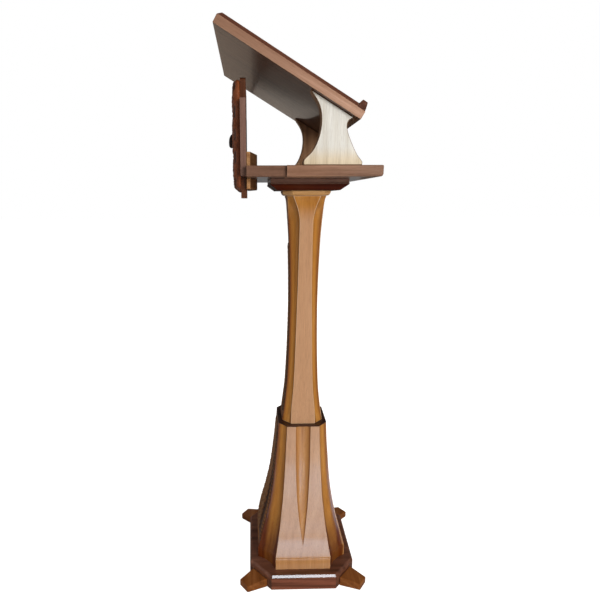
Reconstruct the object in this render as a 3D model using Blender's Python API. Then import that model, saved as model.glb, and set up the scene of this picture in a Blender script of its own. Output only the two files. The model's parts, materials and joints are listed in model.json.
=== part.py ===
"""Free-standing wooden presentation lectern. Metres, +Z up, floor at Z = 0.
X runs across the lectern, -Y faces the audience and +Y faces the reader."""

import math

import bmesh
import bpy
from mathutils import Matrix, Vector

for old in list(bpy.data.objects):
    bpy.data.objects.remove(old, do_unlink=True)

# ---------------------------------------------------------------- dimensions
GAP = 0.0003  # clearance between neighbouring pieces

# base
PLINTH_HALF = 0.131
PLINTH_CUT = 0.052
PLINTH_TOP = 0.0385
PLINTH_CHAMFER = 0.005
FOOT_A = (0.1220, 0.0888)
FOOT_T1 = (0.1376, 0.1376)
FOOT_T2 = (0.1146, 0.1567)
FOOT_B = (0.0880, 0.1228)
FOOT_HIGH = 0.0243
FOOT_FALL = 0.170
FOOT_DOWEL_R = 0.004
FOOT_DOWEL_Z = 0.0105

# pedestal: height, half width, half width of the flat between corner coves
PEDESTAL_RINGS = (
    (0.0388, 0.1100, 0.0673),
    (0.0694, 0.1100, 0.0673),
    (0.0706, 0.1080, 0.0673),
    (0.0900, 0.1032, 0.0641),
    (0.1100, 0.0985, 0.0610),
    (0.1300, 0.0929, 0.0580),
    (0.1500, 0.0879, 0.0553),
    (0.1900, 0.0792, 0.0507),
    (0.2300, 0.0726, 0.0470),
    (0.2700, 0.0680, 0.0446),
    (0.3100, 0.0647, 0.0424),
    (0.3500, 0.0613, 0.0406),
    (0.3987, 0.0585, 0.0388),
)
PEDESTAL_SAG = 0.17
PEDESTAL_SAG_FOOT = 0.12
# side flutes: height, half width; each is hollowed to FLUTE_DEPTH of its half width
FLUTE_LEVELS = (
    (0.1010, 0.0006),
    (0.1125, 0.0026),
    (0.1360, 0.0058),
    (0.1600, 0.0088),
    (0.1834, 0.0115),
    (0.2087, 0.0137),
    (0.2345, 0.0152),
    (0.2867, 0.0171),
    (0.3335, 0.0179),
    (0.4020, 0.0182),
)
FLUTE_DEPTH = 0.50
COLLAR_Z0, COLLAR_Z1 = 0.3990, 0.4018
COLLAR_HALF, COLLAR_FLAT = 0.0588, 0.0384
TENON_HALF = 0.0175

# column
COLUMN_RINGS = (
    (0.4021, 0.0495, 0.0287),
    (0.4260, 0.0457, 0.0284),
    (0.4400, 0.0438, 0.0280),
    (0.4650, 0.0408, 0.0256),
    (0.4940, 0.0382, 0.0233),
    (0.5450, 0.0357, 0.0210),
    (0.5980, 0.0339, 0.0195),
    (0.6500, 0.0328, 0.0182),
    (0.6985, 0.0323, 0.0170),
    (0.7470, 0.0327, 0.0161),
    (0.8000, 0.0340, 0.0155),
    (0.8520, 0.0361, 0.0149),
    (0.8836, 0.0383, 0.0150),
    (0.9040, 0.0395, 0.0178),
    (0.9215, 0.0405, 0.0228),
    (0.9320, 0.0415, 0.0270),
    (0.9397, 0.0440, 0.0300),
)
COLUMN_SAG = 0.26
TENON_FOOT = 0.3420
TENON_TOP = 0.9700

# capital
NECK_Z0, NECK_Z1 = 0.9400, 0.9503
CAP_LOW_Z0, CAP_LOW_Z1 = 0.9506, 0.9625
CAP_UP_Z0, CAP_UP_Z1 = 0.9628, 0.9735
CAP_HALF = 0.0825
CAP_LOW_HALF = 0.0665

# shelf and front tongue
BOARD_Z0, BOARD_Z1 = 0.9738, 0.9948
SHELF_HALF = 0.158
SHELF_Y0, SHELF_Y1 = -0.0538, 0.1290
TONGUE_HALF = 0.150
TONGUE_Y0, TONGUE_Y1 = -0.1299, -0.0541

# emblem board, medallion and glue blocks
EMBLEM_Y0, EMBLEM_Y1 = -0.1415, -0.1302
EMBLEM_WIDE = 0.127
EMBLEM_NARROW = 0.087
EMBLEM_Z = (0.9345, 0.9770, 1.1185, 1.1635)
MEDAL_Z = 1.0550
MEDAL_HALF_X, MEDAL_HALF_Z = 0.112, 0.1072
BOSS_Z = 1.0565
CLEAT_HALF, CLEAT_FLAT = 0.100, 0.035
CLEAT_END_Y, CLEAT_MID_Y = -0.1225, -0.1078
CLEAT_UP_Z = (0.9951, 1.0245)
CLEAT_LOW_Z = (0.9525, 0.9735)

# reading board, measured along its slope (s) and square to it (t)
TILT = math.radians(30.64)
BOOK_HALF = 0.166
BOOK_LENGTH = 0.3075
BOOK_EDGE = 0.0156
BOOK_THICK = 0.0234
BOOK_INSET = 0.006
BOOK_ORIGIN = Vector((0.0, -0.1858, 1.2297))
LEDGE_S = 0.2907
LEDGE_HALF = 0.1632

# brackets
BRACKET_OUT, BRACKET_IN = 0.1530, 0.1315
BRACKET_FRONT = (
    (-0.0225, 1.0012),
    (-0.0208, 1.0055),
    (-0.0144, 1.0117),
    (-0.0071, 1.0190),
    (-0.0010, 1.0286),
    (0.0035, 1.0391),
    (0.0068, 1.0496),
    (0.0088, 1.0605),
    (0.0097, 1.0715),
    (0.0093, 1.0824),
    (0.0073, 1.0927),
    (0.0037, 1.1025),
    (-0.0015, 1.1113),
    (-0.0070, 1.1186),
)
BRACKET_REAR = (
    (0.0612, 1.0747),
    (0.0580, 1.0696),
    (0.0573, 1.0625),
    (0.0588, 1.0548),
    (0.0621, 1.0455),
    (0.0673, 1.0338),
    (0.0733, 1.0218),
    (0.0800, 1.0110),
    (0.0860, 1.0040),
    (0.0885, 1.0005),
)
BRACKET_TIP_FRONT, BRACKET_TIP_REAR = -0.0112, 0.0690

# ------------------------------------------------------------------- helpers
SCENE = bpy.context.scene.collection


def material(name, rgb, rough):
    mat = bpy.data.materials.new(name)
    mat.use_nodes = True
    shader = mat.node_tree.nodes["Principled BSDF"]
    shader.inputs["Base Color"].default_value = (*rgb, 1.0)
    shader.inputs["Roughness"].default_value = rough
    mat.diffuse_color = (*rgb, 1.0)
    return mat


WALNUT = (0.105, 0.045, 0.022)
MAUVE = (0.270, 0.150, 0.105)
HONEY = (0.520, 0.290, 0.120)
CREAM = (0.760, 0.620, 0.430)
STEEL = (0.560, 0.560, 0.550)
BEECH = (0.620, 0.430, 0.270)


def finish(name, bm, rgb, rough=0.3, smooth=False, cutter=False):
    bmesh.ops.recalc_face_normals(bm, faces=bm.faces[:])
    mesh = bpy.data.meshes.new(name)
    bm.to_mesh(mesh)
    bm.free()
    obj = bpy.data.objects.new(name, mesh)
    SCENE.objects.link(obj)
    if smooth:
        for poly in mesh.polygons:
            poly.use_smooth = True
    if cutter:
        obj.hide_render = True
        obj.display_type = "WIRE"
    else:
        mesh.materials.append(material(name + "_finish", rgb, rough))
    return obj


def loft(name, rings, rgb=(1, 1, 1), rough=0.3, smooth=False, cutter=False):
    """One closed body through rings that have the same number of points."""
    bm = bmesh.new()
    rows = [[bm.verts.new(p) for p in ring] for ring in rings]
    count = len(rows[0])
    for low, high in zip(rows, rows[1:]):
        for i in range(count):
            j = (i + 1) % count
            bm.faces.new((low[i], low[j], high[j], high[i]))
    bm.faces.new(rows[0][::-1])
    bm.faces.new(rows[-1])
    return finish(name, bm, rgb, rough, smooth, cutter)


def box(name, x0, x1, y0, y1, z0, z1, rgb=(1, 1, 1), rough=0.3, cutter=False):
    bm = bmesh.new()
    bmesh.ops.create_cube(bm, size=1.0)
    for v in bm.verts:
        v.co = Vector(
            (
                x0 if v.co.x < 0 else x1,
                y0 if v.co.y < 0 else y1,
                z0 if v.co.z < 0 else z1,
            )
        )
    return finish(name, bm, rgb, rough, False, cutter)


def frame_to(start, direction):
    """Matrix that takes +Z at the origin to the given direction at start."""
    turn = Vector((0, 0, 1)).rotation_difference(Vector(direction).normalized())
    return Matrix.Translation(Vector(start)) @ turn.to_matrix().to_4x4()


def turned(name, profile, start, direction, rgb=(1, 1, 1), rough=0.3, sides=12, cutter=False):
    """A round body: (radius, distance) pairs along an axis."""
    place = frame_to(start, direction)
    rings = []
    for radius, along in profile:
        rings.append(
            [
                place
                @ Vector(
                    (
                        radius * math.cos(2 * math.pi * k / sides),
                        radius * math.sin(2 * math.pi * k / sides),
                        along,
                    )
                )
                for k in range(sides)
            ]
        )
    return loft(name, rings, rgb, rough, True, cutter)


def cut(target, cutter):
    mod = target.modifiers.new("cut_" + cutter.name, "BOOLEAN")
    mod.operation = "DIFFERENCE"
    mod.solver = "EXACT"
    mod.object = cutter
    return mod


def bevel(obj, width, segments=2, angle=35):
    mod = obj.modifiers.new("arris", "BEVEL")
    mod.width = width
    mod.segments = segments
    mod.limit_method = "ANGLE"
    mod.angle_limit = math.radians(angle)
    return mod


def ring(z, half, flat, sag, steps=4):
    """Square section with cut corners; sag > 0 hollows each corner."""
    points = []
    for quarter in range(4):
        c, s = [(1, 0), (0, 1), (-1, 0), (0, -1)][quarter]
        for k in range(steps + 1):
            t = k / steps
            dip = sag * 4 * t * (1 - t) * (half - flat)
            x = half + (flat - half) * t - dip
            y = flat + (half - flat) * t - dip
            points.append(Vector((x * c - y * s, x * s + y * c, z)))
    return points


def lerp_rings(rings, z, index):
    if z <= rings[0][0]:
        return rings[0][index]
    for a, b in zip(rings, rings[1:]):
        if z <= b[0]:
            f = (z - a[0]) / (b[0] - a[0])
            return a[index] + (b[index] - a[index]) * f
    return rings[-1][index]


def dowel(name, start, direction, length, radius, rgb=BEECH):
    c = 0.0008
    return turned(
        name,
        ((radius - c, 0), (radius, c), (radius, length - c), (radius - c, length)),
        start,
        direction,
        rgb,
        0.6,
    )


def dowel_hole(name, start, direction, length, radius):
    d = Vector(direction).normalized()
    return turned(
        name,
        ((radius + GAP, -GAP), (radius + GAP, length + GAP)),
        Vector(start),
        d,
        cutter=True,
    )


def screw(name, start, direction, length, radius=0.0021, head=0.0042):
    """Countersunk wood screw: start is the centre of the head's outer face."""
    return turned(
        name,
        (
            (head, 0),
            (head, 0.0006),
            (radius, 0.0006 + (head - radius)),
            (radius, length - 0.005),
            (0.0006, length),
        ),
        start,
        direction,
        STEEL,
        0.35,
    )


def screw_hole(name, start, direction, length, sunk, radius=0.0021, head=0.0042):
    """Room for a screw, open for `sunk` behind the head."""
    g = GAP
    return turned(
        name,
        (
            (head + g, -sunk - 0.002),
            (head + g, 0.0006 + g),
            (radius + g, 0.0006 + (head - radius) + g),
            (radius + g, length - 0.005 + g),
            (0.0006 + g, length + g),
        ),
        start,
        direction,
        cutter=True,
    )


# --------------------------------------------------------------------- base
def octagon(z, half, cutsize):
    f = half - cutsize
    return [
        Vector(p)
        for p in (
            (half, -f, z), (half, f, z), (f, half, z), (-f, half, z),
            (-half, f, z), (-half, -f, z), (-f, -half, z), (f, -half, z),
        )
    ]


c45 = PLINTH_CHAMFER * (2 - math.sqrt(2))
plinth = loft(
    "plinth",
    (
        octagon(0.0, PLINTH_HALF - 0.0012, PLINTH_CUT - 0.0007),
        octagon(0.0012, PLINTH_HALF, PLINTH_CUT),
        octagon(PLINTH_TOP - PLINTH_CHAMFER, PLINTH_HALF, PLINTH_CUT),
        octagon(PLINTH_TOP, PLINTH_HALF - PLINTH_CHAMFER, PLINTH_CUT - c45),
    ),
    WALNUT,
    0.22,
)

cut_line = 2 * PLINTH_HALF - PLINTH_CUT
for label, sx, sy in (
    ("foot_front_right", 1, -1),
    ("foot_rear_right", 1, 1),
    ("foot_front_left", -1, -1),
    ("foot_rear_left", -1, 1),
):
    corners = (FOOT_A, FOOT_T1, FOOT_T2, FOOT_B)
    low = [Vector((x * sx, y * sy, 0.0)) for x, y in corners]
    high = []
    for x, y in corners:
        away = (x + y - cut_line) / math.sqrt(2)
        high.append(Vector((x * sx, y * sy, FOOT_HIGH - FOOT_FALL * away)))
    foot = loft(label, (low, high), WALNUT, 0.25)
    bevel(foot, 0.0018, 2, 30)
    mid = Vector(
        ((FOOT_A[0] + FOOT_B[0]) / 2 * sx, (FOOT_A[1] + FOOT_B[1]) / 2 * sy, FOOT_DOWEL_Z)
    )
    way = Vector((sx, sy, 0)).normalized()
    start = mid - way * 0.022
    dowel(label + "_dowel", start, way, 0.042, FOOT_DOWEL_R)
    hole = dowel_hole(label + "_dowel_hole", start, way, 0.042, FOOT_DOWEL_R)
    cut(foot, hole)
    cut(plinth, hole)

# ----------------------------------------------------------------- pedestal
pedestal = loft(
    "pedestal",
    [
        ring(z, h, f, PEDESTAL_SAG_FOOT + (PEDESTAL_SAG - PEDESTAL_SAG_FOOT) * min(max((z - 0.06) / 0.09, 0.0), 1.0))
        for z, h, f in PEDESTAL_RINGS
    ],
    HONEY,
    0.28,
)
bevel(pedestal, 0.0010, 1, 30)
mortise = box(
    "pedestal_mortise",
    -TENON_HALF - GAP, TENON_HALF + GAP, -TENON_HALF - GAP, TENON_HALF + GAP,
    TENON_FOOT - 0.002, 0.41, cutter=True,
)
cut(pedestal, mortise)

flute_heights = sorted(
    {z for z, _ in FLUTE_LEVELS} | {z for z, _, _ in PEDESTAL_RINGS if FLUTE_LEVELS[0][0] < z < 0.4}
)
for label, turn in (("right", 0), ("left", 180), ("rear", 90)):
    rings = []
    spin = Matrix.Rotation(math.radians(turn), 4, "Z")
    for z in flute_heights:
        surface = lerp_rings(PEDESTAL_RINGS, z, 1)
        half = lerp_rings(FLUTE_LEVELS, z, 1)
        over = 0.0008 + 0.1 * half
        row = [spin @ Vector((surface + over, -half * 1.2 - 0.0004, z))]
        for t in (-1.0, -0.75, -0.4, 0.0, 0.4, 0.75, 1.0):
            row.append(spin @ Vector((surface - FLUTE_DEPTH * half * (1 - abs(t) ** 2.2), half * t, z)))
        row.append(spin @ Vector((surface + over, half * 1.2 + 0.0004, z)))
        rings.append(row)
    cut(pedestal, loft("flute_cutter_" + label, rings, cutter=True))

for i, (sx, sy) in enumerate(((1, -1), (1, 1), (-1, 1), (-1, -1)), 1):
    start = Vector((0.062 * sx, 0.062 * sy, 0.0040))
    screw("plinth_screw_%d" % i, start, (0, 0, 1), 0.070, 0.0026, 0.0052)
    hole = screw_hole("plinth_screw_hole_%d" % i, start, (0, 0, 1), 0.070, 0.004, 0.0026, 0.0052)
    cut(plinth, hole)
    cut(pedestal, hole)

collar = loft(
    "pedestal_collar",
    (
        ring(COLLAR_Z0, COLLAR_HALF, COLLAR_FLAT, 0.0),
        ring(COLLAR_Z1 - 0.0012, COLLAR_HALF, COLLAR_FLAT, 0.0),
        ring(COLLAR_Z1, COLLAR_HALF - 0.0012, COLLAR_FLAT - 0.0005, 0.0),
    ),
    WALNUT,
    0.2,
)
cut(collar, mortise)

# carved panel on the front of the pedestal: height, half width, thickness
PANEL_RINGS = (
    (0.0780, 0.0500, 0.0014),
    (0.0830, 0.0590, 0.0034),
    (0.0950, 0.0600, 0.0066),
    (0.1100, 0.0580, 0.0096),
    (0.1250, 0.0560, 0.0118),
    (0.1360, 0.0545, 0.0126),
    (0.1480, 0.0530, 0.0130),
    (0.1669, 0.0508, 0.0122),
    (0.1900, 0.0480, 0.0108),
    (0.2150, 0.0458, 0.0092),
    (0.2400, 0.0438, 0.0074),
    (0.2700, 0.0420, 0.0058),
    (0.3000, 0.0404, 0.0046),
    (0.3300, 0.0390, 0.0036),
    (0.3600, 0.0376, 0.0030),
    (0.3800, 0.0330, 0.0024),
    (0.3870, 0.0180, 0.0018),
)


def panel(name, levels, body, gap, rgb, rough):
    rings = []
    for z, half, thick in levels:
        back = -(lerp_rings(body, z, 1) + gap)
        row = [Vector((-half, back, z)), Vector((half, back, z))]
        for fx, ft in ((0.97, 0.45), (0.82, 0.80), (0.55, 1.0), (0.30, 0.78), (0.0, 0.94),
                       (-0.30, 0.78), (-0.55, 1.0), (-0.82, 0.80), (-0.97, 0.45)):
            row.append(Vector((half * fx, back - thick * ft, z)))
        rings.append(row)
    return loft(name, rings, rgb, rough)


panel("pedestal_carving", PANEL_RINGS, PEDESTAL_RINGS, 0.0006, WALNUT, 0.4)

# ------------------------------------------------------------------- column
small = (TENON_HALF, TENON_HALF - 0.0012)
rows = [ring(TENON_FOOT, small[0] - 0.001, small[1] - 0.001, 0.0)]
rows.append(ring(TENON_FOOT + 0.001, small[0], small[1], 0.0))
rows.append(ring(COLUMN_RINGS[0][0], small[0], small[1], 0.0))
for n, (z, h, f) in enumerate(COLUMN_RINGS):
    sag = COLUMN_SAG
    if n == 0:
        sag = 0.0
    elif z > 0.90:
        sag = COLUMN_SAG * max(0.0, (0.9397 - z) / 0.0397)
    rows.append(ring(z, h, f, sag))
rows.append(ring(COLUMN_RINGS[-1][0], small[0], small[1], 0.0))
rows.append(ring(TENON_TOP - 0.001, small[0], small[1], 0.0))
rows.append(ring(TENON_TOP, small[0] - 0.001, small[1] - 0.001, 0.0))
column = loft("column", rows, HONEY, 0.28)

STRIP_RINGS = (
    (0.4190, 0.0120, 0.0016),
    (0.4250, 0.0225, 0.0030),
    (0.4500, 0.0235, 0.0034),
    (0.4940, 0.0205, 0.0030),
    (0.5450, 0.0182, 0.0028),
    (0.5980, 0.0168, 0.0026),
    (0.6500, 0.0157, 0.0026),
    (0.6985, 0.0147, 0.0026),
    (0.7470, 0.0139, 0.0026),
    (0.8000, 0.0134, 0.0026),
    (0.8260, 0.0128, 0.0026),
    (0.8340, 0.0070, 0.0016),
)
panel("column_carving", STRIP_RINGS, COLUMN_RINGS, 0.0006, WALNUT, 0.4)

# ------------------------------------------------------------------ capital
tenon_way = box(
    "capital_mortise",
    -TENON_HALF - GAP, TENON_HALF + GAP, -TENON_HALF - GAP, TENON_HALF + GAP,
    0.93975, TENON_TOP + 0.0006, cutter=True,
)
neck = loft(
    "neck_moulding",
    [
        ring(z, h, f, 0.0)
        for z, h, f in (
            (NECK_Z0, 0.0462, 0.0300),
            (0.9408, 0.0478, 0.0309),
            (0.9425, 0.0497, 0.0319),
            (0.9447, 0.0514, 0.0328),
            (0.9470, 0.0523, 0.0333),
            (NECK_Z1, 0.0525, 0.0334),
        )
    ],
    HONEY,
    0.25,
)
cut(neck, tenon_way)


def square(z, half):
    return [Vector(p) for p in ((half, -half, z), (half, half, z), (-half, half, z), (-half, -half, z))]


cap_low = loft(
    "capital_lower",
    (
        square(CAP_LOW_Z0, CAP_LOW_HALF),
        square(CAP_LOW_Z0 + 0.0008, CAP_LOW_HALF + 0.0008),
        square(CAP_LOW_Z1, CAP_HALF - 0.0004),
    ),
    WALNUT,
    0.25,
)
cap_up = loft(
    "capital_upper",
    (
        square(CAP_UP_Z0, CAP_HALF - 0.0018),
        square(CAP_UP_Z0 + 0.0007, CAP_HALF - 0.0006),
        square(CAP_UP_Z0 + 0.0020, CAP_HALF),
        square(CAP_UP_Z1, CAP_HALF),
    ),
    WALNUT,
    0.25,
)
cut(cap_low, tenon_way)
cut(cap_up, tenon_way)

# ---------------------------------------------------------- shelf and tongue
shelf = box("shelf", -SHELF_HALF, SHELF_HALF, SHELF_Y0, SHELF_Y1, BOARD_Z0, BOARD_Z1, MAUVE, 0.25)
tongue = box("front_tongue", -TONGUE_HALF, TONGUE_HALF, TONGUE_Y0, TONGUE_Y1, BOARD_Z0, BOARD_Z1, MAUVE, 0.25)


def weight_edges(obj, pick):
    """Marks the edges that the Bevel rounds, and how much."""
    layer = obj.data.attributes.new("bevel_weight_edge", "FLOAT", "EDGE")
    for edge in obj.data.edges:
        a, b = (obj.data.vertices[i].co for i in edge.vertices)
        layer.data[edge.index].value = pick((a + b) / 2, (b - a).normalized())


def weighted_bevel(obj, width, segments):
    mod = obj.modifiers.new("arris", "BEVEL")
    mod.width = width
    mod.segments = segments
    mod.limit_method = "WEIGHT"
    return mod


weight_edges(
    shelf,
    lambda mid, way: 0.0 if mid.y < SHELF_Y0 + 1e-4 else (1.0 if mid.z < BOARD_Z0 + 1e-4 else 0.5),
)
weighted_bevel(shelf, 0.0050, 3)
weight_edges(
    tongue,
    lambda mid, way: 0.0
    if mid.y > TONGUE_Y1 - 1e-4 or mid.y < TONGUE_Y0 + 1e-4
    else (0.9 if mid.z < BOARD_Z0 + 1e-4 else 0.5),
)
weighted_bevel(tongue, 0.0035, 3)

for i, (x, y) in enumerate(((0.045, -0.0605), (-0.045, -0.0605), (0.050, 0.050), (-0.050, 0.050)), 1):
    start = Vector((x, y, CAP_LOW_Z0 + 0.0004))
    screw("capital_screw_%d" % i, start, (0, 0, 1), 0.036)
    hole = screw_hole("capital_screw_hole_%d" % i, start, (0, 0, 1), 0.036, 0.001)
    cut(cap_low, hole)
    cut(cap_up, hole)
    cut(tongue if y < 0 else shelf, hole)

for i, x in enumerate((-0.095, 0.0, 0.095), 1):
    start = Vector((x, TONGUE_Y1 - 0.020, 0.9843))
    dowel("tongue_dowel_%d" % i, start, (0, 1, 0), 0.040, 0.004)
    hole = dowel_hole("tongue_dowel_hole_%d" % i, start, (0, 1, 0), 0.040, 0.004)
    cut(tongue, hole)
    cut(shelf, hole)

# ------------------------------------------------------ emblem and its blocks
def cleat(name, z0, z1):
    plan = (
        (-CLEAT_HALF, TONGUE_Y0), (CLEAT_HALF, TONGUE_Y0), (CLEAT_HALF, CLEAT_END_Y),
        (CLEAT_FLAT, CLEAT_MID_Y), (-CLEAT_FLAT, CLEAT_MID_Y), (-CLEAT_HALF, CLEAT_END_Y),
    )
    obj = loft(name, [[Vector((x, y, z)) for x, y in plan] for z in (z0, z1)], WALNUT, 0.3)
    bevel(obj, 0.0008, 1, 60)
    return obj


cleat_up = cleat("glue_block_upper", *CLEAT_UP_Z)
cleat_low = cleat("glue_block_lower", *CLEAT_LOW_Z)

z0, z1, z2, z3 = EMBLEM_Z
outline = (
    (-EMBLEM_NARROW, z0), (EMBLEM_NARROW, z0), (EMBLEM_NARROW, z1), (EMBLEM_WIDE, z1),
    (EMBLEM_WIDE, z2), (EMBLEM_NARROW, z2), (EMBLEM_NARROW, z3), (-EMBLEM_NARROW, z3),
    (-EMBLEM_NARROW, z2), (-EMBLEM_WIDE, z2), (-EMBLEM_WIDE, z1), (-EMBLEM_NARROW, z1),
)
emblem = loft(
    "emblem_board",
    [[Vector((x, y, z)) for x, z in outline] for y in (EMBLEM_Y0, EMBLEM_Y1)],
    MAUVE,
    0.3,
)
weight_edges(
    emblem,
    lambda mid, way: 1.0 if abs(way.y) > 0.9 and mid.z > z3 - 1e-4 else (0.18 if abs(way.y) > 0.9 else 0.0),
)
weighted_bevel(emblem, 0.0055, 1)

for i, (x, cl, z, down) in enumerate(
    (
        (0.060, cleat_up, CLEAT_UP_Z[1] - 0.0004, True),
        (-0.060, cleat_up, CLEAT_UP_Z[1] - 0.0004, True),
        (0.028, cleat_low, CLEAT_LOW_Z[0] + 0.0004, False),
        (-0.028, cleat_low, CLEAT_LOW_Z[0] + 0.0004, False),
    ),
    1,
):
    start = Vector((x, -0.1212, z))
    way = (0, 0, -1) if down else (0, 0, 1)
    length = 0.044 if down else 0.036
    screw("block_screw_%d" % i, start, way, length, 0.0018, 0.0036)
    hole = screw_hole("block_screw_hole_%d" % i, start, way, length, 0.001, 0.0018, 0.0036)
    cut(cl, hole)
    cut(tongue, hole)

for i, (x, cl, z) in enumerate(
    ((0.020, cleat_up, 1.0110), (-0.020, cleat_up, 1.0110), (0.012, cleat_low, 0.9630), (-0.012, cleat_low, 0.9630)),
    1,
):
    start = Vector((x, CLEAT_MID_Y - 0.0004, z))
    screw("emblem_screw_%d" % i, start, (0, -1, 0), 0.0300, 0.0018, 0.0036)
    hole = screw_hole("emblem_screw_hole_%d" % i, start, (0, -1, 0), 0.0300, 0.001, 0.0018, 0.0036)
    cut(cl, hole)
    cut(emblem, hole)


def medal_ring(scale, y, lobes, sides=48):
    points = []
    for k in range(sides):
        a = 2 * math.pi * k / sides
        c, s = math.cos(a), math.sin(a)
        r = (abs(c) ** 8 + abs(s) ** 8) ** (-1 / 8)
        wave = 1.0 - lobes * (0.5 - 0.5 * math.cos(8 * a))
        points.append(
            Vector((MEDAL_HALF_X * scale * r * c * wave, y, MEDAL_Z + MEDAL_HALF_Z * scale * r * s * wave))
        )
    return points


medal = loft(
    "emblem_medallion",
    (
        medal_ring(0.990, EMBLEM_Y0 - GAP, 0.0),
        medal_ring(0.995, EMBLEM_Y0 - 0.0060, 0.015),
        medal_ring(1.0, EMBLEM_Y0 - 0.0085, 0.05),
        medal_ring(0.97, EMBLEM_Y0 - 0.0130, 0.06),
        medal_ring(0.86, EMBLEM_Y0 - 0.0160, 0.06),
        medal_ring(0.76, EMBLEM_Y0 - 0.0140, 0.03),
        medal_ring(0.70, EMBLEM_Y0 - 0.0135, 0.0),
        medal_ring(0.62, EMBLEM_Y0 - 0.0165, 0.05),
        medal_ring(0.40, EMBLEM_Y0 - 0.0185, 0.08),
        medal_ring(0.20, EMBLEM_Y0 - 0.0190, 0.0),
    ),
    WALNUT,
    0.4,
    smooth=True,
)

BOSS_BACK = EMBLEM_Y0 - 0.0190 - GAP
rings = []
for fr, drop, out in ((0.90, 0.0, 0.0), (1.0, 0.0, 0.0014), (0.86, 0.0010, 0.0042), (0.58, 0.0028, 0.0064), (0.25, 0.0048, 0.0078)):
    row = []
    for k in range(20):
        a = 2 * math.pi * k / 20
        row.append(Vector((0.0125 * fr * math.cos(a), BOSS_BACK - out, BOSS_Z - drop + 0.0150 * fr * math.sin(a))))
    rings.append(row)
loft("emblem_boss", rings, WALNUT, 0.4, smooth=True)

# ------------------------------------------------------------- reading board
S_WAY = Vector((0.0, math.cos(TILT), -math.sin(TILT)))
T_WAY = Vector((0.0, math.sin(TILT), math.cos(TILT)))


def on_board(x, s, t):
    return BOOK_ORIGIN + Vector((x, 0, 0)) + S_WAY * s + T_WAY * t


def board_ring(half, s0, s1, t):
    return [on_board(half, s0, t), on_board(half, s1, t), on_board(-half, s1, t), on_board(-half, s0, t)]


book = loft(
    "bookrest",
    (
        board_ring(BOOK_HALF - 0.0009, 0.0009, BOOK_LENGTH - 0.0009, 0.0),
        board_ring(BOOK_HALF, 0.0, BOOK_LENGTH, 0.0009),
        board_ring(BOOK_HALF, 0.0, BOOK_LENGTH, BOOK_EDGE),
        board_ring(BOOK_HALF - BOOK_INSET, BOOK_INSET, BOOK_LENGTH - BOOK_INSET, BOOK_THICK),
    ),
    MAUVE,
    0.3,
)
rebate = loft(
    "ledge_rebate",
    (
        board_ring(BOOK_HALF + 0.01, LEDGE_S, BOOK_LENGTH + 0.01, BOOK_EDGE),
        board_ring(BOOK_HALF + 0.01, LEDGE_S, BOOK_LENGTH + 0.01, BOOK_THICK + 0.01),
    ),
    cutter=True,
)
cut(book, rebate)

LEDGE_SECTION = (
    (LEDGE_S + GAP, BOOK_EDGE + GAP),
    (BOOK_LENGTH - 0.0008, BOOK_EDGE + GAP),
    (BOOK_LENGTH - 0.0012, 0.0200),
    (0.3036, 0.0300),
    (0.3022, 0.0312),
    (0.2940, 0.0314),
    (0.2928, 0.0306),
    (LEDGE_S + GAP, 0.0245),
)
ledge = loft(
    "book_ledge",
    [[on_board(x, s, t) for s, t in LEDGE_SECTION] for x in (-LEDGE_HALF, LEDGE_HALF)],
    WALNUT,
    0.25,
)
bevel(ledge, 0.0010, 2, 50)
for i, x in enumerate((-0.11, 0.0, 0.11), 1):
    start = on_board(x, 0.2985, 0.0070)
    dowel("ledge_dowel_%d" % i, start, T_WAY, 0.0190, 0.0030)
    hole = dowel_hole("ledge_dowel_hole_%d" % i, start, T_WAY, 0.0190, 0.0030)
    cut(book, hole)
    cut(ledge, hole)


# ----------------------------------------------------------------- brackets
def under(y):
    """Height just below the reading board."""
    s = (y - BOOK_ORIGIN.y) / math.cos(TILT)
    return BOOK_ORIGIN.z - s * math.sin(TILT) - GAP / math.cos(TILT)


def smooth_side(points, per=2):
    """Catmull-Rom through the profile so the sweep has no flats."""
    out = []
    n = len(points)
    for i in range(n - 1):
        p0 = Vector(points[max(i - 1, 0)])
        p1 = Vector(points[i])
        p2 = Vector(points[i + 1])
        p3 = Vector(points[min(i + 2, n - 1)])
        for k in range(per):
            t = k / per
            out.append(
                0.5
                * (
                    2 * p1
                    + (p2 - p0) * t
                    + (2 * p0 - 5 * p1 + 4 * p2 - p3) * t * t
                    + (3 * p1 - p0 - 3 * p2 + p3) * t ** 3
                )
            )
    out.append(Vector(points[-1]))
    return [(p.x, p.y) for p in out]


side = [(BRACKET_FRONT[0][0], BOARD_Z1 + GAP)]
side += smooth_side(BRACKET_FRONT)
side.append((BRACKET_TIP_FRONT, under(BRACKET_TIP_FRONT)))
side.append((BRACKET_TIP_REAR, under(BRACKET_TIP_REAR)))
side += smooth_side(BRACKET_REAR)
side.append((BRACKET_REAR[-1][0], BOARD_Z1 + GAP))

for label, sign in (("right", 1), ("left", -1)):
    bracket = loft(
        "bracket_" + label,
        [[Vector((x * sign, y, z)) for y, z in side] for x in (BRACKET_IN, BRACKET_OUT)],
        CREAM,
        0.3,
    )
    bevel(bracket, 0.0010, 1, 70)
    centre = (BRACKET_IN + BRACKET_OUT) / 2 * sign
    for i, y in enumerate((0.004, 0.062), 1):
        start = Vector((centre, y, BOARD_Z1 - 0.0120))
        dowel("bracket_%s_foot_dowel_%d" % (label, i), start, (0, 0, 1), 0.026, 0.004)
        hole = dowel_hole("bracket_%s_foot_dowel_hole_%d" % (label, i), start, (0, 0, 1), 0.026, 0.004)
        cut(bracket, hole)
        cut(shelf, hole)
    for i, y in enumerate((0.0225, 0.0500), 1):
        start = Vector((centre, y, under(y))) - T_WAY * 0.014
        dowel("bracket_%s_head_dowel_%d" % (label, i), start, T_WAY, 0.025, 0.0038)
        hole = dowel_hole("bracket_%s_head_dowel_hole_%d" % (label, i), start, T_WAY, 0.025, 0.0038)
        cut(bracket, hole)
        cut(book, hole)
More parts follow.
